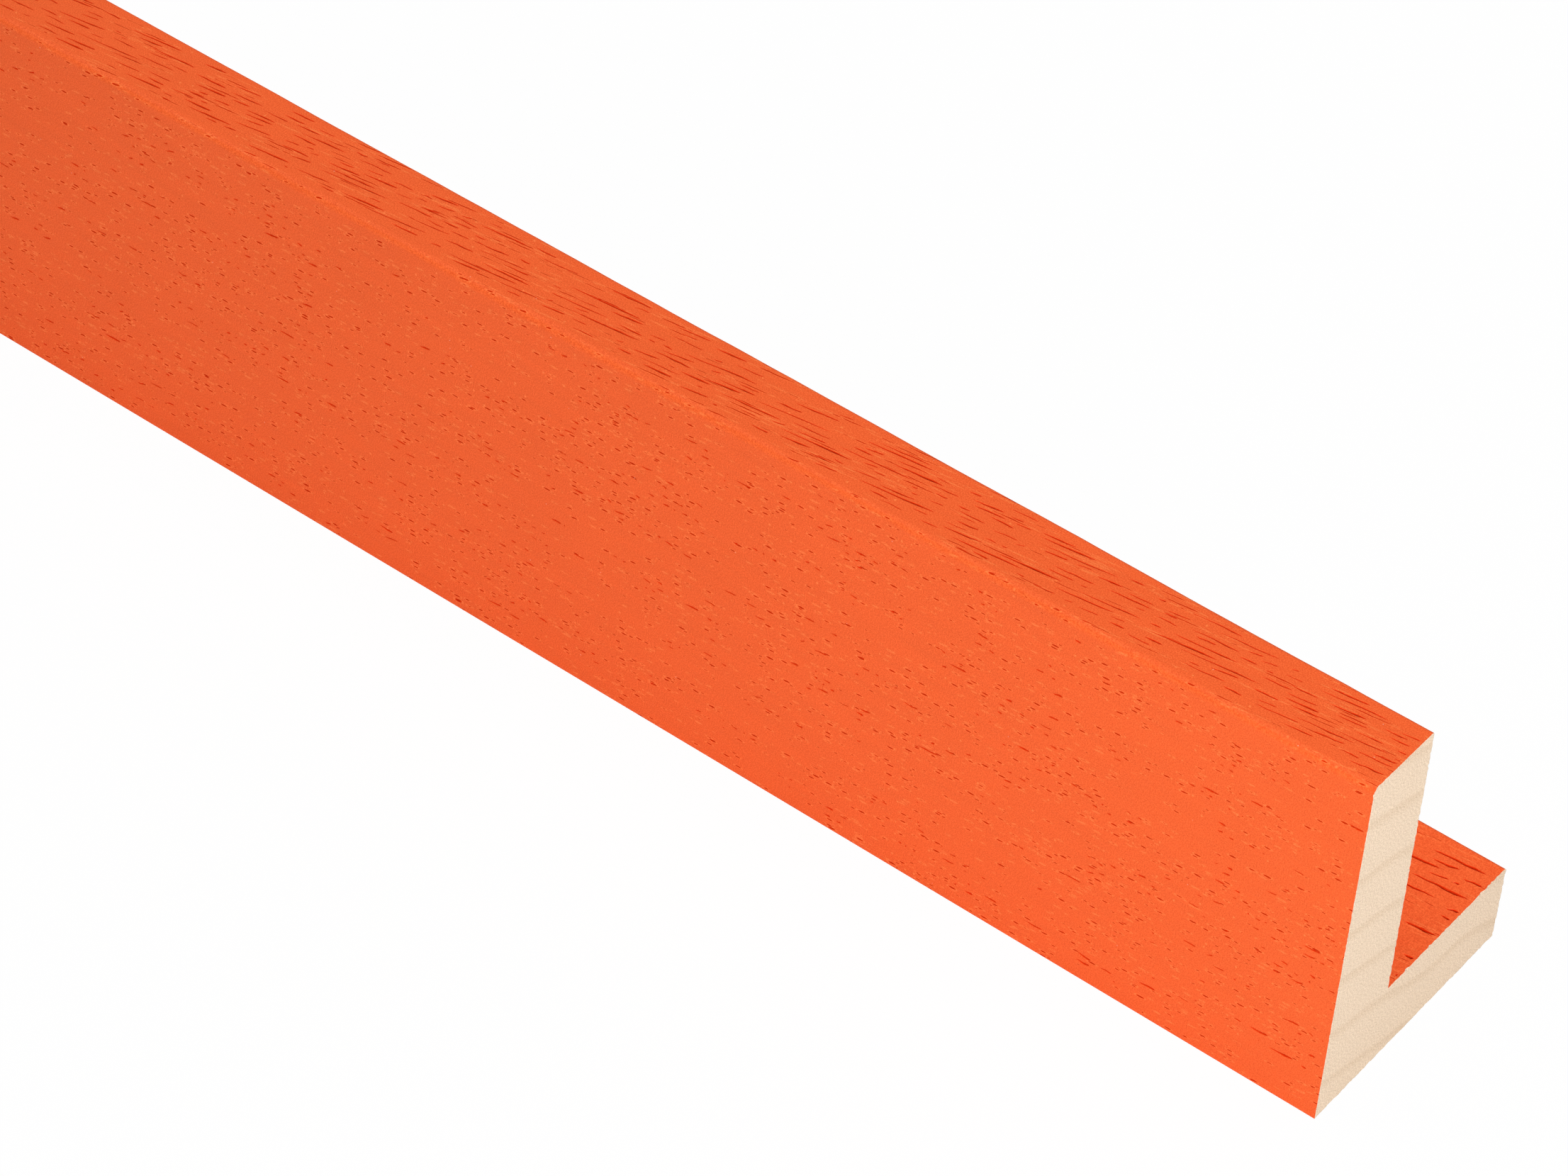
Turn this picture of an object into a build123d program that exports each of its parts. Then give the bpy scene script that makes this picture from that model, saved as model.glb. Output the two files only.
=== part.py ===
from build123d import *

import os

# A straight length of L-shaped picture frame moulding, sawn square at both ends.
# The tall leg is the frame's outer side and sight edge. The foot behind it is the
# rebate's floor, where the edge of a canvas or panel sits.
# X runs along the length, -Y faces out of the frame's side, and +Z points to the
# sight edge. The origin is on the underside, below the middle of length and width.

# Driving dimensions, in millimetres
length = 1000.0
height = 45.0
width = 32.0
leg_at_foot = 10.6
leg_at_sight_edge = 10.0
foot_thickness = 9.8
sight_arris_radius = 0.8
leg_back_arris_radius = 0.45
foot_back_arris_radius = 0.45


def section():
    """The L section across the length, with its three exposed top corners eased."""
    show_face = -width / 2
    back_edge = width / 2
    sight_corner = (show_face, height)
    leg_back_corner = (show_face + leg_at_sight_edge, height)
    rebate_corner = (show_face + leg_at_foot, foot_thickness)
    foot_back_corner = (back_edge, foot_thickness)
    eased_corners = [
        (sight_corner, sight_arris_radius),
        (leg_back_corner, leg_back_arris_radius),
        (foot_back_corner, foot_back_arris_radius),
    ]

    with BuildSketch(Plane.YZ) as profile:
        with BuildLine():
            Polyline(
                (show_face, 0),
                (back_edge, 0),
                foot_back_corner,
                rebate_corner,
                leg_back_corner,
                sight_corner,
                close=True,
            )
        make_face()
        for corner, radius in eased_corners:
            fillet(profile.vertices().sort_by_distance(corner)[0], radius)
    return profile.sketch


def moulding():
    """The whole length, drawn out evenly both ways from the middle."""
    return extrude(section(), amount=length / 2, both=True)


os.makedirs("parts", exist_ok=True)
export_step(moulding(), "parts/moulding.step")
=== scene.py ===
"""A straight length of painted L-shaped picture frame moulding, with open grain and raw sawn ends."""

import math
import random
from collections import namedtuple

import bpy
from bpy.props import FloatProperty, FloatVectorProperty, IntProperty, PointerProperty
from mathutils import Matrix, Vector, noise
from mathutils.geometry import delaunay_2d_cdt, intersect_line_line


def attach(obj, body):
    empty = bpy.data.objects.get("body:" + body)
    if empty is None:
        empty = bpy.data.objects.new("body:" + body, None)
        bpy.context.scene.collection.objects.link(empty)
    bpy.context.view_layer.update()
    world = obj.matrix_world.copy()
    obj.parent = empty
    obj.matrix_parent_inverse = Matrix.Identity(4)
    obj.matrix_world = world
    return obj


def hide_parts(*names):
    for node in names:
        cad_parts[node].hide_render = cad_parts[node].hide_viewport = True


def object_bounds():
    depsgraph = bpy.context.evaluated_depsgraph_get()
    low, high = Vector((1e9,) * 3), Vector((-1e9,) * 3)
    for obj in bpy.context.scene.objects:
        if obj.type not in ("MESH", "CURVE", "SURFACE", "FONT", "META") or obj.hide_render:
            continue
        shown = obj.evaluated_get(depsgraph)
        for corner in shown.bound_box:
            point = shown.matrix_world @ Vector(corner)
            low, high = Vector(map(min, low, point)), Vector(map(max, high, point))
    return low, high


bl_info = {
    "name": "Picture Frame Moulding",
    "version": (1, 0, 0),
    "blender": (4, 5, 0),
    "location": "3D View > Sidebar > Moulding",
    "description": "Builds a length of painted L-shaped picture frame moulding and the stage it stands on",
    "category": "Object",
}

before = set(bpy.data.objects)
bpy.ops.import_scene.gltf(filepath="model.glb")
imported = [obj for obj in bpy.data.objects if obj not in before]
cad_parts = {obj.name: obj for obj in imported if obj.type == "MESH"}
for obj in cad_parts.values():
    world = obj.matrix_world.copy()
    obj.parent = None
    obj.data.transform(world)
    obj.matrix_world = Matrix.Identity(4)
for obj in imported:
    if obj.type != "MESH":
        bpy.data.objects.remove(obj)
CAD_LOW, CAD_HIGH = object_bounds()

# Names and units
MM = 0.001
SQUARE_CM = 0.0001
NODE = "moulding"
PIECE = "painted_moulding"
# The point attribute for each pore's depth, which the materials paint as shade down in the pore
PORE_ATTRIBUTE = "pore_depth"
PAINTED, RAW = 0, 1

# The outline is walked from its front bottom corner, so its flat sides come in this order
FLAT_NAMES = ("underside", "foot_back", "canvas_seat", "leg_back", "sight_edge", "show_face")
RAW_FLATS = ("underside",)
SHORTEST_FLAT = 2.0 * MM
TOUCHING = 0.001 * MM

# How finely the skin is divided
STATION_STEP = 2.5 * MM
ARRIS_STRIP = 0.13 * MM
RIM_STEP = 0.32 * MM
MIDDLE_STEP = 3.0 * MM
END_INSET = 0.16 * MM
SHARP_ANGLE = math.radians(35)
MAP_ROWS = 2
MAP_GAP = 3.0 * MM

# The easing of the arrises wavers slowly along the length, and more quickly within that
SLOW_WAVER = 18 * MM
QUICK_WAVER = 4 * MM

# The saw came out at the back, and left the edges of the faces that it entered cleaner
CLEANER_FLATS = ("sight_edge", "show_face")
CLEANER_SHARE = 0.4

# The open pores on each flat: how many in a square centimetre, how wide beside the usual, and how deep, which
# also sets how dark their painted shade is
PORES = {
    "underside": (0.4, 1.0, 0.7),
    "foot_back": (3.0, 1.0, 0.7),
    "canvas_seat": (7.5, 1.5, 1.5),
    "leg_back": (1.7, 1.0, 0.7),
    "sight_edge": (18.0, 0.88, 0.92),
    "show_face": (8.4, 1.3, 0.62),
}

# Where the pores stand: thickly in patches, with a few scattered anywhere
PATCH_LENGTH = 13 * MM
PATCH_WIDTH = 3.2 * MM
SCATTERED = 0.12
TRIES_FOR_A_PORE = 60
FLAT_MARGIN = 0.60 * MM
END_MARGIN = 0.25 * MM

# A pore takes up cells of this size and those beside them, so that no two touch; wider ones have wider cells
CELL_ALONG = 0.30 * MM
CELL_ACROSS = 0.20 * MM
WIDEST_IN_CELL = 1.6

# The size of a pore; the spread of lengths is the mean and deviation of their logarithm, beside the usual
SHORTEST_PORE = 0.22 * MM
LONG_PORE = 4.0 * MM
LENGTH_SPREAD = (-0.55, 0.5)
WIDTH_SPREAD = (0.65, 1.25)
LONG_PORE_WIDENS = 0.35
DEPTH_TO_WIDTH = 0.6
SHORT_PORE_DEPTH = 0.65

# How pores follow each other in a run, or lie side by side in a bundle
RUN_ENDS = 0.6
FOLLOWING_SHARE = (0.3, 1.0)
RUN_GAP_MM = (0.15, 1.1)
RUN_WANDER_MM = 0.05
BUNDLED = 0.45
BUNDLE_SHIFT = (-0.6, 0.5)
BUNDLE_SPACING = (2.2, 4.5)

# How far a pore turns off the run of the grain, which is half as far at the steady length
TURN_SPREAD_DEGREES = 5.0
STEADY_LENGTH = 1.5 * MM

# The points along a pore come with its length, and each drifts to a side and has a width of its own
SHORT_STATION = 0.45 * MM
LONG_STATION = 1.3 * MM
STATION_DRIFT = 0.3
STATION_WIDTHS = (0.8, 1.15)
HALF_WIDEST = 0.6

# The glossy coat of the paint and of the sawn fibres
COAT_ROUGHNESS = 0.5

# A vessel that is left out counts as this much further away
OUT_OF_REACH = 10.0

# The photograph's camera, measured from the near end's front bottom corner
CAMERA_FROM_CORNER = (0.1465, -0.2989, 0.3696)
CAMERA_TURN = math.radians(35.54)
CAMERA_ELEVATION = math.radians(42.87)
CAMERA_ROLL = math.radians(3.98)
CAMERA_LENS = 117.3
CAMERA_SENSOR = 36.0
CAMERA_NEAREST = 0.01

# The lamps' sizes, and how far each stands from the point that it lights
END_LAMP_SIZE = (0.25, 0.25)
KEY_LAMP_AWAY = (0.38, -0.25, 0.20)
FAR_LAMP_AWAY = (-0.42, 0.05, 0.20)
TOP_LAMP_SIZE = (2.0, 0.8)
TOP_LAMP_AWAY = (0.0, -0.15, 0.9)
BACK_LAMP_SIZE = (2.0, 0.6)
BACK_LAMP_AWAY = (0.0, 0.8, 0.6)

# The floor
FLOOR_HALF = 6.0
FLOOR_LIFT = 0.97
PAPER = (0.9, 0.9, 0.9, 1.0)
WHITE = (1.0, 1.0, 1.0, 1.0)

Flat = namedtuple("Flat", "name start along normal width material")
Arris = namedtuple("Arris", "corner towards_last towards_next reach")
Pore = namedtuple("Pore", "x across length width depth turn room")
Span = namedtuple("Span", "flat first rails columns unrolled")


class MouldingGrain(bpy.types.PropertyGroup):
    """How the wood's vessels run, and how many of them the planed faces cut open."""

    turn: FloatProperty(
        name="Turn",
        description="How far the grain runs off the length towards the back",
        default=math.radians(6.6),
        subtype="ANGLE",
    )
    rise: FloatProperty(
        name="Rise",
        description="How far the grain runs off the length upwards",
        default=math.radians(-1.3),
        subtype="ANGLE",
    )
    lean: FloatProperty(
        name="Lean",
        description="How far the single openings on the upright faces turn off the run of the grain",
        default=math.radians(5.5),
        subtype="ANGLE",
    )
    vessel_width: FloatProperty(
        name="Vessel width",
        description="Usual width of an open vessel",
        default=0.19 * MM,
        precision=5,
        subtype="DISTANCE",
        unit="LENGTH",
    )
    longest_pore: FloatProperty(
        name="Longest pore",
        description="Longest opening that a vessel leaves in a face",
        default=9.0 * MM,
        precision=4,
        subtype="DISTANCE",
        unit="LENGTH",
    )
    ring_spacing: FloatProperty(
        name="Ring spacing",
        description="Distance from one growth ring to the next",
        default=6.4 * MM,
        precision=4,
        subtype="DISTANCE",
        unit="LENGTH",
    )
    ring_tilt: FloatProperty(
        name="Ring tilt",
        description="How steeply the growth rings fall towards the back of the section",
        default=math.radians(17.0),
        subtype="ANGLE",
    )
    seed: IntProperty(
        name="Seed",
        description="Another number gives another piece of the same timber",
        default=7,
    )


class MouldingFinish(bpy.types.PropertyGroup):
    """The colours of the paint and of the bare wood, with painted shade down in the pores and a painted
    highlight on their lips, and how much the edges are eased and torn.
    """

    paint: FloatVectorProperty(
        name="Paint",
        description="Colour of the paint on the flat",
        default=(0.895, 0.096, 0.0145),
        min=0.0,
        max=1.0,
        subtype="COLOR",
    )
    # Darker, redder paint down in the pores: painted shade in the recesses of the open grain
    paint_shaded_in_pores: FloatVectorProperty(
        name="Paint in pores",
        description="Colour of the paint down in the open grain",
        default=(0.72, 0.026, 0.002),
        min=0.0,
        max=1.0,
        subtype="COLOR",
    )
    # Paler paint: the thin paint over raised nibs and its random lighter mottle, and a painted highlight on
    # the lips of the pores
    thin_paint_and_highlight: FloatVectorProperty(
        name="Paint on nibs",
        description="Colour of the thin paint over raised nibs of grain",
        default=(1.0, 0.22, 0.055),
        min=0.0,
        max=1.0,
        subtype="COLOR",
    )
    specks: FloatVectorProperty(
        name="Specks",
        description="Colour of the tiny bare specks in the paint",
        default=(0.95, 0.55, 0.38),
        min=0.0,
        max=1.0,
        subtype="COLOR",
    )
    wood: FloatVectorProperty(
        name="Wood",
        description="Colour of the bare sawn wood",
        default=(0.765, 0.618, 0.474),
        min=0.0,
        max=1.0,
        subtype="COLOR",
    )
    wood_bands: FloatVectorProperty(
        name="Wood bands",
        description="Colour of the darker wood along the growth rings",
        default=(0.550, 0.380, 0.237),
        min=0.0,
        max=1.0,
        subtype="COLOR",
    )
    arris_waver: FloatProperty(
        name="Arris waver",
        description="How unevenly the arrises were eased by hand, as a share of their radius",
        default=0.22,
        min=0.0,
        max=0.6,
        subtype="FACTOR",
    )
    tear_out: FloatProperty(
        name="Tear-out",
        description="How far the saw tore the edges of its cut",
        default=0.09 * MM,
        precision=5,
        subtype="DISTANCE",
        unit="LENGTH",
    )


class MouldingLight(bpy.types.PropertyGroup):
    """The studio light."""

    sky: FloatProperty(
        name="Sky",
        description="Strength of the even light from all round",
        default=0.28,
        min=0.0,
    )
    key: FloatProperty(
        name="Key",
        description="Power of each of the two soft lamps beside the ends",
        default=1.9,
        min=0.0,
        subtype="POWER",
    )
    top: FloatProperty(
        name="Top",
        description="Power of the long soft lamp overhead",
        default=6.5,
        min=0.0,
        subtype="POWER",
    )
    back: FloatProperty(
        name="Back",
        description="Power of the long soft lamp behind the moulding",
        default=1.6,
        min=0.0,
        subtype="POWER",
    )


# The CAD section


def sawn_outline():
    """The section's (across, up) points, anticlockwise seen from +X, from its front bottom corner."""
    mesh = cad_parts[NODE].data
    sides = set()
    for polygon in mesh.polygons:
        corners = [mesh.vertices[index].co for index in polygon.vertices]
        if min(corner.x for corner in corners) > CAD_HIGH.x - TOUCHING:
            ring = [(round(corner.y, 7), round(corner.z, 7)) for corner in corners]
            sides.update(zip(ring, ring[1:] + ring[:1]))
    following = {here: there for here, there in sides if (there, here) not in sides}
    first = min(following, key=sum)
    outline = [first]
    while following[outline[-1]] != first:
        outline.append(following[outline[-1]])
    return [Vector(point) for point in outline]


def flats_and_arrises(outline):
    """The outline's six flats, and after each its eased arris, or None where the corner is sharp."""
    ends = list(zip(outline, outline[1:] + outline[:1]))
    sides = [(start, end) for start, end in ends if (end - start).length > SHORTEST_FLAT]
    if len(sides) != len(FLAT_NAMES):
        raise RuntimeError(f"the CAD section has {len(sides)} flat sides, and {len(FLAT_NAMES)} are known")
    flats = []
    for name, (start, end) in zip(FLAT_NAMES, sides):
        along = (end - start).normalized()
        material = RAW if name in RAW_FLATS else PAINTED
        flats.append(Flat(name, start, along, Vector((along.y, -along.x)), (end - start).length, material))
    arrises = []
    for (start, end), (next_start, next_end) in zip(sides, sides[1:] + sides[:1]):
        if (next_start - end).length < TOUCHING:
            arrises.append(None)
            continue
        crossing = intersect_line_line(*(point.to_3d() for point in (start, end, next_start, next_end)))
        corner = crossing[0].to_2d()
        towards_last = (end - corner).normalized()
        towards_next = (next_start - corner).normalized()
        arrises.append(Arris(corner, towards_last, towards_next, (end - corner).length))
    return flats, arrises


def eased(arris, share, reach):
    """The point a share of the way round an arris that starts and ends that far from its corner."""
    first = arris.corner + arris.towards_last * reach
    last = arris.corner + arris.towards_next * reach
    weight = math.sqrt((1 - arris.towards_last.dot(arris.towards_next)) / 2)
    parts = ((1 - share) ** 2, 2 * weight * share * (1 - share), share**2)
    total = first * parts[0] + arris.corner * parts[1] + last * parts[2]
    return total / sum(parts)


# The open pores


def grain_direction(grain):
    """The way that the vessels run through the wood."""
    return Vector((
        math.cos(grain.turn) * math.cos(grain.rise),
        math.sin(grain.turn) * math.cos(grain.rise),
        math.sin(grain.rise),
    ))


def ring_share(section, grain):
    """How near a point of the section is to the open-pored middle of a growth ring, from 0 to 1."""
    level = section.y * math.cos(grain.ring_tilt) + section.x * math.sin(grain.ring_tilt)
    return 0.5 + 0.5 * math.cos(2 * math.pi * level / grain.ring_spacing)


def patch_share(x, section):
    """How thickly the vessels stand in a patch of the wood, drawn out along the length, from 0 to 1."""
    height = noise.noise(Vector((x / PATCH_LENGTH, section.x / PATCH_WIDTH, section.y / PATCH_WIDTH)))
    return min(1.0, max(0.0, 0.5 + 1.1 * height))


def cells_under(pore):
    """The cells that a pore lies over, with those beside it."""
    steps = max(2, math.ceil(pore.length / CELL_ALONG) + 1)
    found = set()
    for step in range(-1, steps + 1):
        share = step / steps - 0.5
        x = pore.x + pore.length * share * math.cos(pore.turn)
        across = pore.across + pore.length * share * math.sin(pore.turn)
        column = math.floor(x / CELL_ALONG)
        row = round(across / pore.room)
        found.update((column, beside) for beside in (row - 1, row, row + 1))
    return found


class OpenGrain:
    """The vessels that the plane cut open on one stretch of a flat, in runs and bundles, none touching."""

    def __init__(self, flat, low, high, grain, draw):
        run = grain_direction(grain)
        self.flat = flat
        self.low, self.high = low, high
        self.grain = grain
        self.draw = draw
        self.into_face = run.y * flat.normal.x + run.z * flat.normal.y
        self.skew = math.atan2(run.y * flat.along.x + run.z * flat.along.y, run.x)
        self.lean = self.skew + grain.lean * flat.normal.x
        self.usual = min(grain.vessel_width / max(abs(self.into_face), 0.001), grain.longest_pore)
        self.per_square_cm, self.wider, self.depth = PORES[flat.name]
        self.room = CELL_ACROSS * self.wider
        self.taken = set()
        self.pores = []

    def cut(self):
        """All the pores of the stretch."""
        wanted = self.per_square_cm * self.flat.width * (self.high - self.low) / SQUARE_CM
        tries = 0
        while len(self.pores) < wanted and tries < TRIES_FOR_A_PORE * wanted:
            tries += 1
            x = self.draw.uniform(self.low, self.high)
            across = self.draw.uniform(0.0, self.flat.width)
            section = self.flat.start + self.flat.along * across
            thickly = ring_share(section, self.grain) * patch_share(x, section)
            if self.draw.random() <= SCATTERED + (1 - SCATTERED) * thickly:
                self.cut_run(x, across)
        return self.pores

    def cut_run(self, x, across):
        """Pores that follow each other along the grain, or lie beside each other in a bundle."""
        draw = self.draw
        for number in range(1 + int(draw.expovariate(RUN_ENDS))):
            length = self.usual * draw.lognormvariate(*LENGTH_SPREAD)
            if number:
                length *= draw.uniform(*FOLLOWING_SHARE)
            length = min(max(length, SHORTEST_PORE), self.grain.longest_pore)
            self.cut_pore(x, across, length)
            if draw.random() < BUNDLED:
                step = length * draw.uniform(*BUNDLE_SHIFT)
                across += draw.choice((-1, 1)) * draw.uniform(*BUNDLE_SPACING) * self.room
            else:
                step = length + draw.uniform(*RUN_GAP_MM) * MM
            x += step
            across += step * math.tan(self.skew) + draw.gauss(0.0, RUN_WANDER_MM) * MM

    def cut_pore(self, x, across, length):
        """One pore from x on, cut off at the stretch's ends, if it fits on the flat and between the others."""
        longness = min(1.0, length / LONG_PORE)
        width = self.grain.vessel_width * self.wider * self.draw.uniform(*WIDTH_SPREAD)
        width = min(WIDEST_IN_CELL * self.room, width * (1 + LONG_PORE_WIDENS * longness))
        off_run = math.radians(self.draw.gauss(0.0, TURN_SPREAD_DEGREES))
        turn = self.lean + off_run / (1 + length / STEADY_LENGTH)
        start = max(x, self.low + END_MARGIN)
        cut_length = min(x + length, self.high - END_MARGIN) - start
        rise = abs(math.sin(turn)) * length / 2 + FLAT_MARGIN
        if cut_length < SHORTEST_PORE or not rise < across < self.flat.width - rise:
            return
        pore = Pore(start + cut_length / 2, across, cut_length, width, self.depth, turn, self.room)
        cells = cells_under(pore)
        if not cells & self.taken:
            self.taken |= cells
            self.pores.append(pore)


def swelling(share):
    """A pore's width along its length: a thin tail that swells towards a blunt head."""
    return 1.2 * share**0.45 * (1 - share**9)


def pore_shape(pore, into_face, draw):
    """A pore's rim, and its floor's points with a depth and a darkness for painted shade, in the flat's own
    (x, across).
    """
    stations = min(2, 1 + int(pore.length / SHORT_STATION)) + min(4, int(pore.length / LONG_STATION))
    head = -1 if into_face > 0 else 1
    direction = Vector((math.cos(pore.turn), math.sin(pore.turn))) * head
    sideways = Vector((-direction.y, direction.x))
    tail = Vector((pore.x, pore.across)) - direction * pore.length / 2
    longness = min(1.0, pore.length / LONG_PORE)
    deepest = pore.depth * (SHORT_PORE_DEPTH + (1 - SHORT_PORE_DEPTH) * longness)
    most_drift = max(0.0, pore.room - HALF_WIDEST * pore.width)
    left, right, floor = [], [], []
    drift = 0.0
    for number in range(stations):
        share = (number + 0.75) / (stations + 0.2)
        drift += draw.gauss(0.0, STATION_DRIFT) * pore.width
        drift = min(most_drift, max(-most_drift, drift))
        middle = tail + direction * pore.length * share + sideways * drift
        wide = swelling(share) * draw.uniform(*STATION_WIDTHS)
        left.append(middle + sideways * pore.width / 2 * wide)
        right.append(middle - sideways * pore.width / 2 * wide)
        # The floor's darkness is painted shade, deeper in the longer and wider pores
        floor.append((middle, DEPTH_TO_WIDTH * pore.width * wide * deepest, min(1.0, wide * deepest)))
    tip = tail + direction * pore.length + sideways * drift
    rim = [tail] + right + [tip] + left[::-1]
    return rim, floor


# The skin


class Skin:
    """The mesh as it grows: points with a depth in their pore, which the materials paint as shade, and faces
    with a material and a map.
    """

    def __init__(self):
        self.points = []
        self.depths = []
        self.faces = []
        self.materials = []
        self.smooth = []
        self.map = []

    def point(self, x, section, depth=0.0):
        self.points.append((x, section.x, section.y))
        self.depths.append(depth)
        return len(self.points) - 1

    def face(self, corners, places, material, smooth=False):
        self.faces.append(corners)
        self.map.extend(places)
        self.materials.append(material)
        self.smooth.append(smooth)


class Sheet:
    """The skin laid flat: the sides unrolled in rows, each a stretch of the length, and the ends above."""

    def __init__(self, perimeter, end_size):
        self.row_length = (CAD_HIGH.x - CAD_LOW.x) / MAP_ROWS
        self.row_height = perimeter + MAP_GAP
        self.end_size = end_size
        self.high = MAP_ROWS * self.row_height + end_size.x

    def side(self, row, x, unrolled):
        along = (x - CAD_LOW.x) / self.row_length - row
        return along, (row * self.row_height + unrolled) / self.high

    def end(self, number, section):
        along = number * (self.end_size.y + MAP_GAP) + section.y
        up = MAP_ROWS * self.row_height + section.x - CAD_LOW.y
        return along / self.row_length, up / self.high


class Rail:
    """One line of the skin's points that runs the length of the moulding."""

    def __init__(self, skin, stations, sections):
        self.sections = sections
        self.corners = [skin.point(x, section) for x, section in zip(stations, sections)]


def wavering(x, number):
    """Slow uneven change along the length, from about -1 to 1, different for each number."""
    slow = noise.noise(Vector((x / SLOW_WAVER, number * 7.3, 0.0)))
    quick = noise.noise(Vector((x / QUICK_WAVER, number * 3.1, 5.0)))
    return 1.2 * slow + 0.7 * quick


def torn(tear_out, draw):
    """How far the saw tore one point of an edge: mostly little, and now and then a deeper chip."""
    return tear_out * (0.5 * draw.random() + 1.2 * draw.random() ** 8)


def spaced(start, end, step):
    """Values between start and end, without them, about a step apart."""
    count = max(1, round(abs(end - start) / step))
    return [start + (end - start) * number / count for number in range(1, count)]


def filling(spots, border_count, edges):
    """Triangles that fill a border, whose spots come first and anticlockwise, and keep to inner edges."""
    border = list(range(border_count))
    found = delaunay_2d_cdt([spot / MM for spot in spots], edges, [border], 0, 1e-7, True)
    if len(found[0]) != len(spots):
        raise RuntimeError("edges cross each other inside a border")
    sources = [source[0] for source in found[3]]
    return [[sources[n] for n in triangle] for triangle, inside in zip(found[2], found[5]) if inside]


class SkinMaker:
    """Lays the skin over the CAD section: flats with their pores, eased arrises and sawn ends."""

    def __init__(self, grain, finish):
        self.grain = grain
        self.finish = finish
        self.skin = Skin()
        self.flats, self.arrises = flats_and_arrises(sawn_outline())
        length = CAD_HIGH.x - CAD_LOW.x
        count = MAP_ROWS * round(length / STATION_STEP / MAP_ROWS)
        self.stations = [CAD_LOW.x + length * number / count for number in range(count + 1)]
        self.row_stations = count // MAP_ROWS
        self.end_draw = random.Random(grain.seed)

    def edge_places(self):
        """Each station's place along the length, with the two ends drawn in where the saw tore them."""
        places = list(self.stations)
        places[0] += torn(self.finish.tear_out, self.end_draw)
        places[-1] -= torn(self.finish.tear_out, self.end_draw)
        return places

    def lay_rails(self):
        """The rails after each flat: one at a sharp corner, several round an eased arris."""
        self.corner_rails = []
        for number, (flat, arris) in enumerate(zip(self.flats, self.arrises)):
            if arris is None:
                corner = flat.start + flat.along * flat.width
                courses = [[corner] * len(self.stations)]
            else:
                waver = self.finish.arris_waver
                reaches = [arris.reach * (1 + waver * wavering(x, number)) for x in self.stations]
                strips = round(arris.reach / ARRIS_STRIP)
                courses = [
                    [eased(arris, strip / strips, reach) for reach in reaches] for strip in range(strips + 1)
                ]
            self.corner_rails.append([Rail(self.skin, self.edge_places(), course) for course in courses])

    def cross_columns(self, flat, first, last):
        """Columns of points across a flat at each row's start and end; the outermost are torn by the saw."""
        tear_out = self.finish.tear_out * (CLEANER_SHARE if flat.name in CLEANER_FLATS else 1.0)
        columns = []
        for row in range(MAP_ROWS + 1):
            station = row * self.row_stations
            at_end = row in (0, MAP_ROWS)
            inward = 1 if row == 0 else -1
            low = (first.sections[station] - flat.start).dot(flat.along)
            high = (last.sections[station] - flat.start).dot(flat.along)
            column = []
            for across in spaced(low, high, RIM_STEP if at_end else MIDDLE_STEP):
                x = self.stations[station]
                if at_end:
                    x += inward * torn(tear_out, self.end_draw)
                column.append(self.skin.point(x, flat.start + flat.along * across))
            columns.append(column)
        return columns

    def let_in(self, flat, pore, into_face, draw, corners, edges):
        """Adds a pore's points to a flat's corners, and its rim and floor to the edges that are kept to."""
        rim, floor = pore_shape(pore, into_face, draw)
        base = len(corners)
        for spot in rim:
            corners.append(self.skin.point(spot.x, flat.start + flat.along * spot.y))
        for spot, depth, darkness in floor:
            section = flat.start + flat.along * spot.y - flat.normal * depth
            corners.append(self.skin.point(spot.x, section, darkness))
        edges += [(base + n, base + (n + 1) % len(rim)) for n in range(len(rim))]
        bed = base + len(rim)
        edges += [(bed + n, bed + n + 1) for n in range(len(floor) - 1)]

    def lay_flat(self, span, sheet):
        """Covers a flat between two rails, row by row, with its pores let in."""
        flat, columns = span.flat, span.columns
        for row in range(MAP_ROWS):
            draw = random.Random(f"{flat.name} {row} {self.grain.seed}")
            stretch = slice(row * self.row_stations, (row + 1) * self.row_stations + 1)
            border = span.first.corners[stretch] + columns[row + 1]
            border += span.rails[0].corners[stretch][::-1] + columns[row][::-1]
            corners = list(border)
            edges = []
            low, high = self.stations[stretch][0], self.stations[stretch][-1]
            open_grain = OpenGrain(flat, low, high, self.grain, draw)
            for pore in open_grain.cut():
                self.let_in(flat, pore, open_grain.into_face, draw, corners, edges)
            places = []
            for corner in corners:
                x, y, z = self.skin.points[corner]
                places.append(Vector((x, (Vector((y, z)) - flat.start).dot(flat.along))))
            for triangle in filling(places, len(border), edges):
                turned = triangle[::-1]
                mapped = [sheet.side(row, places[n].x, span.unrolled + places[n].y) for n in turned]
                self.skin.face([corners[n] for n in turned], mapped, flat.material)

    def lay_strip(self, first, last, unrolled, width, material, sheet):
        """Covers the strip of an arris between two rails."""
        for row in range(MAP_ROWS):
            for station in range(row * self.row_stations, (row + 1) * self.row_stations):
                corners = [
                    first.corners[station],
                    last.corners[station],
                    last.corners[station + 1],
                    first.corners[station + 1],
                ]
                x, next_x = self.stations[station], self.stations[station + 1]
                places = [
                    sheet.side(row, x, unrolled),
                    sheet.side(row, x, unrolled + width),
                    sheet.side(row, next_x, unrolled + width),
                    sheet.side(row, next_x, unrolled),
                ]
                self.skin.face(corners, places, material, smooth=True)

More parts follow.
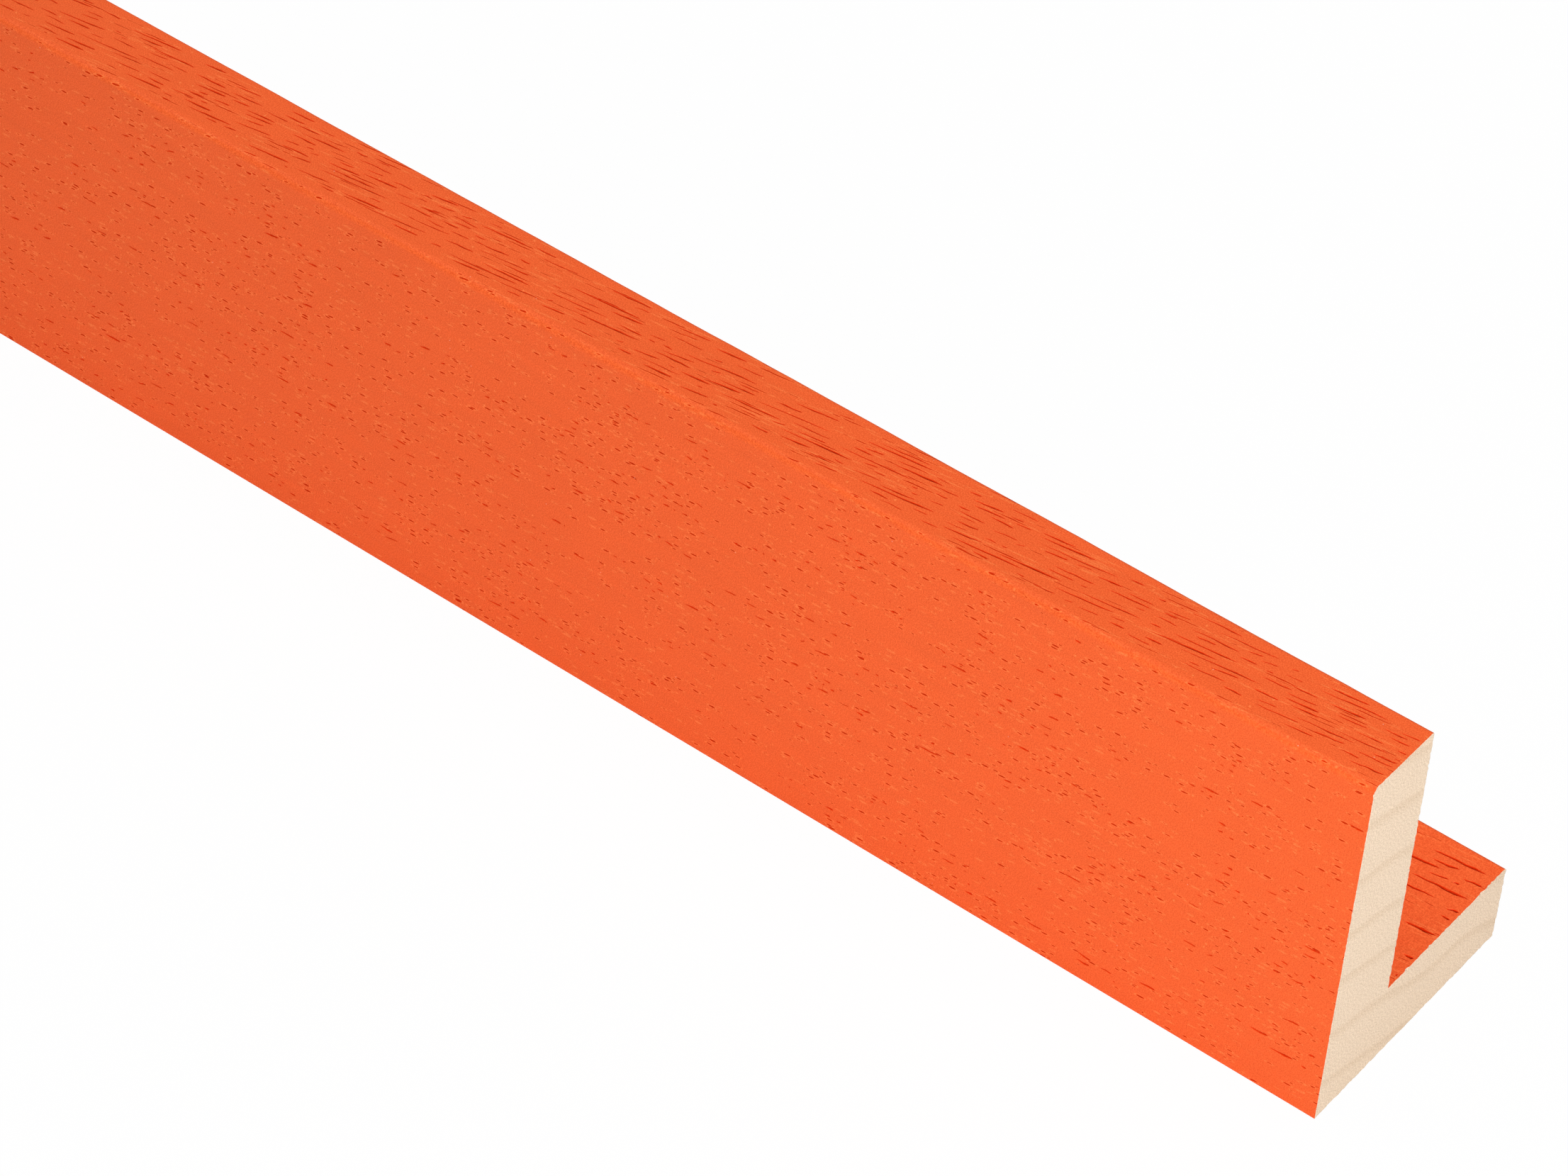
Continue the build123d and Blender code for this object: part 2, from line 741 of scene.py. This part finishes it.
    def lay_end(self, number, rim, sheet):
        """Closes one sawn end: a narrow torn border inside the rim, and the flat cut."""
        x = (CAD_LOW.x, CAD_HIGH.x)[number]
        around = [Vector(self.skin.points[corner][1:]) for corner in rim]
        inner = []
        for n, here in enumerate(around):
            before = (here - around[n - 1]).normalized()
            after = (around[(n + 1) % len(around)] - here).normalized()
            inward = Vector((-before.y - after.y, before.x + after.x)).normalized()
            reach = END_INSET / max(0.5, inward.dot(Vector((-before.y, before.x))))
            inner.append(here + inward * reach)
        inner_corners = [self.skin.point(x, section) for section in inner]

        def close(corners, sections):
            if number == 0:
                corners, sections = corners[::-1], sections[::-1]
            self.skin.face(corners, [sheet.end(number, section) for section in sections], RAW)

        for n in range(len(rim)):
            m = (n + 1) % len(rim)
            close(
                [rim[n], rim[m], inner_corners[m], inner_corners[n]],
                [around[n], around[m], inner[m], inner[n]],
            )
        for triangle in filling(inner, len(inner), []):
            close([inner_corners[n] for n in triangle], [inner[n] for n in triangle])

    def make(self):
        """The whole skin."""
        self.lay_rails()
        spans = []
        unrolled = 0.0
        rims = ([], [])
        for number, (flat, arris) in enumerate(zip(self.flats, self.arrises)):
            first = self.corner_rails[number - 1][-1]
            rails = self.corner_rails[number]
            columns = self.cross_columns(flat, first, rails[0])
            spans.append(Span(flat, first, rails, columns, unrolled))
            unrolled += flat.width
            if arris is not None:
                unrolled += 2 * arris.reach
            for end, station in enumerate((0, -1)):
                rims[end].extend(columns[station])
                rims[end].extend(rail.corners[station] for rail in rails)
        end_size = Vector((CAD_HIGH.y - CAD_LOW.y, CAD_HIGH.z - CAD_LOW.z))
        sheet = Sheet(unrolled, end_size)
        for span, arris in zip(spans, self.arrises):
            self.lay_flat(span, sheet)
            strips = len(span.rails) - 1
            for strip in range(strips):
                width = 2 * arris.reach / strips
                start = span.unrolled + span.flat.width + strip * width
                first, last = span.rails[strip], span.rails[strip + 1]
                self.lay_strip(first, last, start, width, span.flat.material, sheet)
        for number in (0, 1):
            self.lay_end(number, rims[number], sheet)
        return self.skin


def mesh_from(skin, name):
    """The skin as a mesh, with its map and the depth of its pores, which the materials paint as shade."""
    mesh = bpy.data.meshes.new(name)
    mesh.from_pydata(skin.points, [], skin.faces)
    mesh.polygons.foreach_set("material_index", skin.materials)
    mesh.set_sharp_from_angle(angle=SHARP_ANGLE)
    mesh.polygons.foreach_set("use_smooth", skin.smooth)
    depth = mesh.attributes.new(PORE_ATTRIBUTE, "FLOAT", "POINT")
    depth.data.foreach_set("value", skin.depths)
    layer = mesh.uv_layers.new(name="OFBake")
    layer.data.foreach_set("uv", [value for place in skin.map for value in place])
    mesh.update()
    return mesh


# Shader nodes


def place(tree, kind, inputs=None, **options):
    """Adds a node, sets its options, and links or sets its inputs, given by name or number."""
    node = tree.nodes.new(kind)
    for name, value in options.items():
        setattr(node, name, value)
    for key, value in (inputs or {}).items():
        if isinstance(value, bpy.types.NodeSocket):
            tree.links.new(value, node.inputs[key])
        else:
            node.inputs[key].default_value = value
    return node


def maths(tree, operation, first, second=0.0, third=0.0):
    inputs = {0: first, 1: second, 2: third}
    return place(tree, "ShaderNodeMath", inputs, operation=operation).outputs[0]


def vectors(tree, operation, first, second, third=(0.0, 0.0, 0.0)):
    inputs = {0: first, 1: second, 2: third}
    return place(tree, "ShaderNodeVectorMath", inputs, operation=operation).outputs["Vector"]


def mixed(tree, share, first, second, blend="MIX"):
    """A mix of two colours."""
    inputs = {0: share, 6: first, 7: second}
    node = place(tree, "ShaderNodeMix", inputs, data_type="RGBA", blend_type=blend)
    return node.outputs[2]


def ranged(tree, value, low, high, to_low=0.0, to_high=1.0):
    """A value carried smoothly from one range to another."""
    inputs = {"Value": value, "From Min": low, "From Max": high, "To Min": to_low, "To Max": to_high}
    return place(tree, "ShaderNodeMapRange", inputs, interpolation_type="SMOOTHSTEP").outputs["Result"]


def summed(tree, parts):
    """Values times their shares, added up."""
    total = 0.0
    for value, share in parts:
        total = maths(tree, "MULTIPLY_ADD", value, share, total)
    return total


def varied(tree, total, value, reach):
    """Adds a value between 0 and 1 to a total, so that it moves it by half its reach either way."""
    return maths(tree, "MULTIPLY_ADD", value, reach, maths(tree, "SUBTRACT", total, reach / 2))


def toned(tree, shade, tone):
    """A colour made lighter or darker by a value about 1."""
    grey = place(tree, "ShaderNodeCombineColor", {0: tone, 1: tone, 2: tone}).outputs[0]
    return mixed(tree, 1.0, shade, grey, "MULTIPLY")


def colour(value):
    return (*value, 1.0)


def own_place(tree):
    return place(tree, "ShaderNodeTexCoord").outputs["Object"]


def pore_depth(tree):
    return place(tree, "ShaderNodeAttribute", attribute_name=PORE_ATTRIBUTE).outputs["Fac"]


def clouds(tree, where, scale, detail):
    return place(tree, "ShaderNodeTexNoise", {"Vector": where, "Scale": scale, "Detail": detail}).outputs


def cells(tree, where, scale):
    return place(tree, "ShaderNodeTexVoronoi", {"Vector": where, "Scale": scale}, feature="F1").outputs


def scattered(tree, where, spacing, radius, kept):
    """Round spots through the solid, about a spacing apart, of which a share is kept."""
    nearest = cells(tree, where, 1 / spacing)
    spot = ranged(tree, nearest["Distance"], 0.35 * radius / spacing, radius / spacing, 1.0, 0.0)
    chance = place(tree, "ShaderNodeSeparateColor", {0: nearest["Color"]}).outputs[0]
    return maths(tree, "MULTIPLY", spot, maths(tree, "LESS_THAN", chance, kept))


def along_grain(tree, turn, rise, stretch, width, fineness=1.0):
    """Object coordinates turned to a run of grain, in steps of stretch along it and width across it."""
    turned = place(
        tree,
        "ShaderNodeMapping",
        {"Vector": own_place(tree), "Rotation": (0.0, -rise, turn)},
        vector_type="TEXTURE",
    ).outputs["Vector"]
    counted = vectors(tree, "MULTIPLY", turned, (1 / stretch, 1 / width, 1 / width))
    scaled = place(tree, "ShaderNodeVectorMath", {0: counted, "Scale": fineness}, operation="SCALE")
    return scaled.outputs["Vector"]


# Effects that both materials use


def new_group(name, inputs, outputs):
    """An empty node group with numbers going in and out; its inputs come back by name."""
    tree = bpy.data.node_groups.new(name, "ShaderNodeTree")
    for label, value in inputs.items():
        socket = tree.interface.new_socket(label, in_out="INPUT", socket_type="NodeSocketFloat")
        socket.default_value = value
    for label in outputs:
        tree.interface.new_socket(label, in_out="OUTPUT", socket_type="NodeSocketFloat")
    return tree, place(tree, "NodeGroupInput").outputs


def give_out(tree, values):
    place(tree, "NodeGroupOutput", values)


def use_group(tree, group, values):
    return place(tree, "ShaderNodeGroup", values, node_tree=group).outputs


def fibre_group(grain):
    """Streaks of fibre along the grain, broad and fine."""
    tree, given = new_group("fibres", {"Fineness": 1.0}, ("Streaks", "Fine"))
    broad = along_grain(tree, grain.turn, grain.rise, 30 * MM, 1.1 * MM, given["Fineness"])
    fine = along_grain(tree, grain.turn, grain.rise, 3.0 * MM, 0.16 * MM, given["Fineness"])
    streaks = clouds(tree, broad, 1.0, 3.0)["Fac"]
    close = clouds(tree, fine, 1.0, 2.0)["Fac"]
    give_out(tree, {"Streaks": streaks, "Fine": close})
    return tree


def cut_vessels(tree, turn, rise, stretch, width, kept):
    """How far a point is from the nearest vessel, as a share of that vessel's size; only some are kept."""
    where = along_grain(tree, turn, rise, stretch, width)
    sway = clouds(tree, own_place(tree), 900.0, 2.0)["Color"]
    nearest = cells(tree, vectors(tree, "MULTIPLY_ADD", sway, (0.0, 0.5, 0.5), where), 1.0)
    chances = place(tree, "ShaderNodeSeparateColor", {0: nearest["Color"]}).outputs
    size = maths(tree, "MULTIPLY_ADD", chances[0], 0.2, 0.12)
    reach = maths(tree, "DIVIDE", nearest["Distance"], size)
    left_out = maths(tree, "GREATER_THAN", chances[1], kept)
    return maths(tree, "MULTIPLY_ADD", left_out, OUT_OF_REACH, reach)


def fine_pore_group(grain):
    """Pores too fine for the mesh, dashes on upright faces and lines on level ones, and their raised lips; the
    materials paint shade in the pores and a highlight on the lips.
    """
    tree, given = new_group("fine_pores", {"Thickness": 1.0}, ("Pores", "Lips"))
    patches = along_grain(tree, grain.turn, grain.rise, 16.0 * MM, 3.2 * MM)
    patch = clouds(tree, patches, 1.0, 1.0)["Fac"]
    thick = maths(tree, "MULTIPLY", ranged(tree, patch, 0.32, 0.56, 0.15, 0.9), given["Thickness"])
    dashes = cut_vessels(tree, grain.turn, grain.rise + grain.lean, 1.9 * MM, 0.42 * MM, thick)
    lines = cut_vessels(tree, grain.turn, grain.rise, 10.0 * MM, 0.32 * MM, thick)
    normal = place(tree, "ShaderNodeNewGeometry").outputs["True Normal"]
    upward = maths(tree, "ABSOLUTE", place(tree, "ShaderNodeSeparateXYZ", {0: normal}).outputs["Z"])
    level = maths(tree, "GREATER_THAN", upward, 0.8)
    reach = place(tree, "ShaderNodeMix", {0: level, 2: dashes, 3: lines}, data_type="FLOAT").outputs[0]
    pores = ranged(tree, reach, 0.45, 1.0, 0.54, 0.0)
    lips = maths(tree, "MULTIPLY", ranged(tree, reach, 0.85, 1.1), ranged(tree, reach, 1.1, 1.7, 1.0, 0.0))
    give_out(tree, {"Pores": pores, "Lips": lips})
    return tree


class Groups:
    """The effects, built once."""

    def __init__(self, grain):
        self.fibres = fibre_group(grain)
        self.fine_pores = fine_pore_group(grain)


# Materials


def new_material(name):
    """A material with an empty node tree."""
    material = bpy.data.materials.new(name)
    material.use_nodes = True
    material.node_tree.nodes.clear()
    return material, material.node_tree


def surface(tree, base, rough, height, sheen):
    """The material's shader; height is in millimetres, and sheen is the weight of its glossy coat."""
    bump = place(tree, "ShaderNodeBump", {"Height": height, "Distance": MM, "Strength": 1.0})
    shader = place(
        tree,
        "ShaderNodeBsdfPrincipled",
        {
            "Base Color": base,
            "Roughness": rough,
            "Specular IOR Level": 0.0,
            "Coat Weight": sheen,
            "Coat Roughness": COAT_ROUGHNESS,
            "Normal": bump.outputs["Normal"],
        },
    )
    place(tree, "ShaderNodeOutputMaterial", {"Surface": shader.outputs["BSDF"]})


def paint_material(groups, finish):
    """Thin satin paint over open grain: redder and darker down in the pores as painted shade, paler on their
    lips as a painted highlight, and paler on raised nibs where the paint is thin.
    """
    material, tree = new_material("open_grain_paint")
    where = own_place(tree)
    fibres = use_group(tree, groups.fibres, {"Fineness": 1.0})
    fine = use_group(tree, groups.fine_pores, {"Thickness": 1.0})
    peel = clouds(tree, where, 7000.0, 3.0)["Fac"]
    cloud = clouds(tree, where, 60.0, 3.0)["Fac"]
    nibs = scattered(tree, where, 1.3 * MM, 0.19 * MM, 0.45)
    specks = scattered(tree, where, 2.2 * MM, 0.09 * MM, 0.4)

    ragged = ranged(tree, peel, 0.3, 0.55, 0.5, 1.0)
    depth = maths(tree, "MAXIMUM", pore_depth(tree), fine["Pores"])
    in_pore = maths(tree, "MULTIPLY", ranged(tree, depth, 0.0, 0.25), ragged)
    out_of_pore = maths(tree, "SUBTRACT", 1.0, in_pore)
    # Paler on raised nibs, where the paint is thin, and on the lips of the pores, as a painted highlight
    raised = maths(tree, "MAXIMUM", nibs, maths(tree, "MULTIPLY", fine["Lips"], 0.8))
    highlit_lips_and_nibs = maths(tree, "MULTIPLY", maths(tree, "MULTIPLY", raised, ragged), out_of_pore)
    thin = ranged(tree, peel, 0.3, 0.7, 0.0, 0.45)
    shade = mixed(tree, thin, colour(finish.paint), colour(finish.thin_paint_and_highlight))
    shade = mixed(tree, highlit_lips_and_nibs, shade, colour(finish.thin_paint_and_highlight))
    # Painted shade down in the pores
    shade = mixed(tree, in_pore, shade, colour(finish.paint_shaded_in_pores))
    shade = mixed(tree, maths(tree, "MULTIPLY", specks, 0.6), shade, colour(finish.specks))
    tone = varied(tree, 1.0, cloud, 0.06)
    tone = varied(tree, tone, fibres["Streaks"], 0.10)
    tone = varied(tree, tone, peel, 0.4)
    # Darker still towards the floor of a pore: painted shade
    tone = maths(tree, "MULTIPLY", tone, ranged(tree, depth, 0.3, 1.0, 1.0, 0.34))

    rough = varied(tree, 0.6, peel, 0.16)
    relief = (
        (peel, 0.013),
        (fibres["Fine"], 0.014),
        (nibs, 0.008),
        (fine["Lips"], 0.004),
        (fine["Pores"], -0.004),
    )
    sheen = maths(tree, "MULTIPLY", out_of_pore, 0.34)
    surface(tree, toned(tree, shade, tone), rough, summed(tree, relief), sheen)
    return material


def growth_lines(tree, grain):
    """The darker band that ends each growth ring."""
    where = own_place(tree)
    warp = clouds(tree, where, 45.0, 2.0)["Fac"]
    parts = place(tree, "ShaderNodeSeparateXYZ", {0: where}).outputs
    up = maths(tree, "MULTIPLY", parts["Z"], math.cos(grain.ring_tilt) / grain.ring_spacing)
    level = maths(tree, "MULTIPLY_ADD", parts["Y"], math.sin(grain.ring_tilt) / grain.ring_spacing, up)
    level = maths(tree, "MULTIPLY_ADD", warp, 0.9, level)
    within = maths(tree, "FRACT", level)
    rising = ranged(tree, within, 0.40, 0.62)
    falling = ranged(tree, within, 0.62, 0.72, 1.0, 0.0)
    return maths(tree, "MULTIPLY", rising, falling)


def wood_material(groups, grain, finish):
    """Bare pale wood as the saw left it: growth bands, fine vessels and a slightly furry cut, with painted
    shade in the vessels and in part of the fur's hollows.
    """
    material, tree = new_material("raw_sawn_wood")
    fibres = use_group(tree, groups.fibres, {"Fineness": 0.8})
    fine = use_group(tree, groups.fine_pores, {"Thickness": 0.7})
    drawn = vectors(tree, "MULTIPLY", own_place(tree), (1.0, 0.6, 1.0))
    fur = clouds(tree, drawn, 7500.0, 4.0)["Fac"]

    # Darker and yellower in the low spots of the furry cut: partly the wood's own speckle, partly painted
    # shade in the hollows of its relief
    hollow_speckle_and_shade = ranged(tree, fur, 0.35, 0.62, 0.5, 0.0)
    banded = maths(tree, "MULTIPLY_ADD", growth_lines(tree, grain), 0.21, hollow_speckle_and_shade)
    shade = mixed(tree, banded, colour(finish.wood), colour(finish.wood_bands))
    # Darker in the vessels: painted shade
    dark = summed(tree, ((pore_depth(tree), 0.5), (fine["Pores"], 0.4)))
    shade = mixed(tree, dark, shade, colour(finish.wood_bands))
    # The tone follows the fur too: darker in its hollows, in part as painted shade
    tone = varied(tree, 1.0, fur, 0.45)
    tone = varied(tree, tone, fibres["Fine"], 0.2)

    rough = varied(tree, 0.8, fur, 0.16)
    relief = (
        (fur, 0.07),
        (fine["Pores"], -0.04),
    )
    surface(tree, toned(tree, shade, tone), rough, summed(tree, relief), 0.2)
    return material


def floor_material():
    """White paper: it keeps the object's shadow, and the camera sees it lifted towards plain white."""
    material, tree = new_material("white_floor")
    paper = place(tree, "ShaderNodeBsdfDiffuse", {"Color": PAPER})
    glow = place(tree, "ShaderNodeEmission", {"Color": WHITE, "Strength": 1.0})
    seen = place(tree, "ShaderNodeLightPath").outputs["Is Camera Ray"]
    lifted = maths(tree, "MULTIPLY", seen, FLOOR_LIFT)
    mix = place(tree, "ShaderNodeMixShader", {0: lifted, 1: paper.outputs[0], 2: glow.outputs[0]})
    place(tree, "ShaderNodeOutputMaterial", {"Surface": mix.outputs[0]})
    return material


# The stage


def look(turn, elevation, roll):
    """A rotation that looks down at the object from its front, turned towards +X, with the picture rolled."""
    forward = Vector((
        -math.sin(turn) * math.cos(elevation),
        math.cos(turn) * math.cos(elevation),
        -math.sin(elevation),
    ))
    level_right = Vector((math.cos(turn), math.sin(turn), 0.0))
    level_up = level_right.cross(forward)
    right = level_right * math.cos(roll) + level_up * math.sin(roll)
    up = level_up * math.cos(roll) - level_right * math.sin(roll)
    return Matrix((right, up, -forward)).transposed()


def link(name, data):
    """A new object in the scene."""
    obj = bpy.data.objects.new(name, data)
    bpy.context.scene.collection.objects.link(obj)
    return obj


def add_camera(corner):
    """The photograph's camera, beside the near end."""
    camera = link("camera", bpy.data.cameras.new("camera"))
    camera.data.sensor_width = CAMERA_SENSOR
    camera.data.lens = CAMERA_LENS
    camera.data.clip_start = CAMERA_NEAREST
    place_at = Matrix.Translation(corner + Vector(CAMERA_FROM_CORNER))
    camera.matrix_world = place_at @ look(CAMERA_TURN, CAMERA_ELEVATION, CAMERA_ROLL).to_4x4()
    bpy.context.scene.camera = camera


def add_lamp(name, power, size, target, away):
    """A soft lamp, hidden from the camera, that stands away from its target and faces it."""
    lamp = link(name, bpy.data.lights.new(name, "AREA"))
    lamp.data.energy = power
    lamp.data.shape = "RECTANGLE"
    lamp.data.size, lamp.data.size_y = size
    lamp.location = target + Vector(away)
    lamp.visible_camera = False
    lamp.rotation_euler = (-Vector(away)).to_track_quat("-Z", "Y").to_euler()


def add_floor():
    """A wide white floor under the moulding."""
    mesh = bpy.data.meshes.new("floor")
    half = FLOOR_HALF
    corners = [(-half, -half, 0.0), (half, -half, 0.0), (half, half, 0.0), (-half, half, 0.0)]
    mesh.from_pydata(corners, [], [(0, 1, 2, 3)])
    floor = link("floor", mesh)
    floor.location.z = CAD_LOW.z
    mesh.materials.append(floor_material())


def add_sky(strength):
    """Even light from all round; the camera sees plain white."""
    world = bpy.data.worlds.new("studio")
    world.use_nodes = True
    tree = world.node_tree
    tree.nodes.clear()
    even = place(tree, "ShaderNodeBackground", {"Color": WHITE, "Strength": strength})
    white = place(tree, "ShaderNodeBackground", {"Color": WHITE, "Strength": 1.0})
    seen = place(tree, "ShaderNodeLightPath").outputs["Is Camera Ray"]
    mix = place(tree, "ShaderNodeMixShader", {0: seen, 1: even.outputs[0], 2: white.outputs[0]})
    place(tree, "ShaderNodeOutputWorld", {"Surface": mix.outputs[0]})
    bpy.context.scene.world = world


# The steps and the sidebar


class MOULDING_OT_build(bpy.types.Operator):
    """Lays the painted and sawn skin of the moulding over its CAD section"""

    bl_idname = "moulding.build"
    bl_label = "Build Moulding"

    def execute(self, context):
        grain = context.scene.moulding_grain
        finish = context.scene.moulding_finish
        skin = SkinMaker(grain, finish).make()
        piece = link(PIECE, mesh_from(skin, PIECE))
        groups = Groups(grain)
        piece.data.materials.append(paint_material(groups, finish))
        piece.data.materials.append(wood_material(groups, grain, finish))
        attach(piece, "root")
        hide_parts(NODE)
        return {"FINISHED"}


class MOULDING_OT_stage(bpy.types.Operator):
    """Adds the white floor, the soft studio light and the camera"""

    bl_idname = "moulding.stage"
    bl_label = "Set Stage"

    def execute(self, context):
        light = context.scene.moulding_light
        context.scene.view_settings.view_transform = "Standard"
        add_floor()
        add_sky(light.sky)
        near = Vector((CAD_HIGH.x, CAD_LOW.y, CAD_LOW.z))
        far = Vector((CAD_LOW.x, CAD_LOW.y, CAD_LOW.z))
        middle = Vector((0.0, CAD_LOW.y, CAD_LOW.z))
        add_lamp("key_lamp", light.key, END_LAMP_SIZE, near, KEY_LAMP_AWAY)
        add_lamp("far_lamp", light.key, END_LAMP_SIZE, far, FAR_LAMP_AWAY)
        add_lamp("top_lamp", light.top, TOP_LAMP_SIZE, middle, TOP_LAMP_AWAY)
        add_lamp("back_lamp", light.back, BACK_LAMP_SIZE, middle, BACK_LAMP_AWAY)
        add_camera(near)
        return {"FINISHED"}


class MOULDING_PT_sidebar(bpy.types.Panel):
    """Lists the moulding's steps and what can be set"""

    bl_label = "Moulding"
    bl_idname = "MOULDING_PT_sidebar"
    bl_space_type = "VIEW_3D"
    bl_region_type = "UI"
    bl_category = "Moulding"

    def draw(self, context):
        for settings, operator in (
            ((context.scene.moulding_grain, context.scene.moulding_finish), MOULDING_OT_build),
            ((context.scene.moulding_light,), MOULDING_OT_stage),
        ):
            box = self.layout.box()
            for group in settings:
                for name in group.bl_rna.properties.keys():
                    if name not in ("rna_type", "name"):
                        box.prop(group, name)
            box.operator(operator.bl_idname)


CLASSES = (
    MouldingGrain,
    MouldingFinish,
    MouldingLight,
    MOULDING_OT_build,
    MOULDING_OT_stage,
    MOULDING_PT_sidebar,
)


def register():
    for cls in CLASSES:
        bpy.utils.register_class(cls)
    bpy.types.Scene.moulding_grain = PointerProperty(type=MouldingGrain)
    bpy.types.Scene.moulding_finish = PointerProperty(type=MouldingFinish)
    bpy.types.Scene.moulding_light = PointerProperty(type=MouldingLight)


def unregister():
    del bpy.types.Scene.moulding_grain
    del bpy.types.Scene.moulding_finish
    del bpy.types.Scene.moulding_light
    for cls in reversed(CLASSES):
        bpy.utils.unregister_class(cls)


def main():
    register()
    bpy.ops.moulding.build()
    bpy.ops.moulding.stage()


if __name__ == "__main__":
    main()
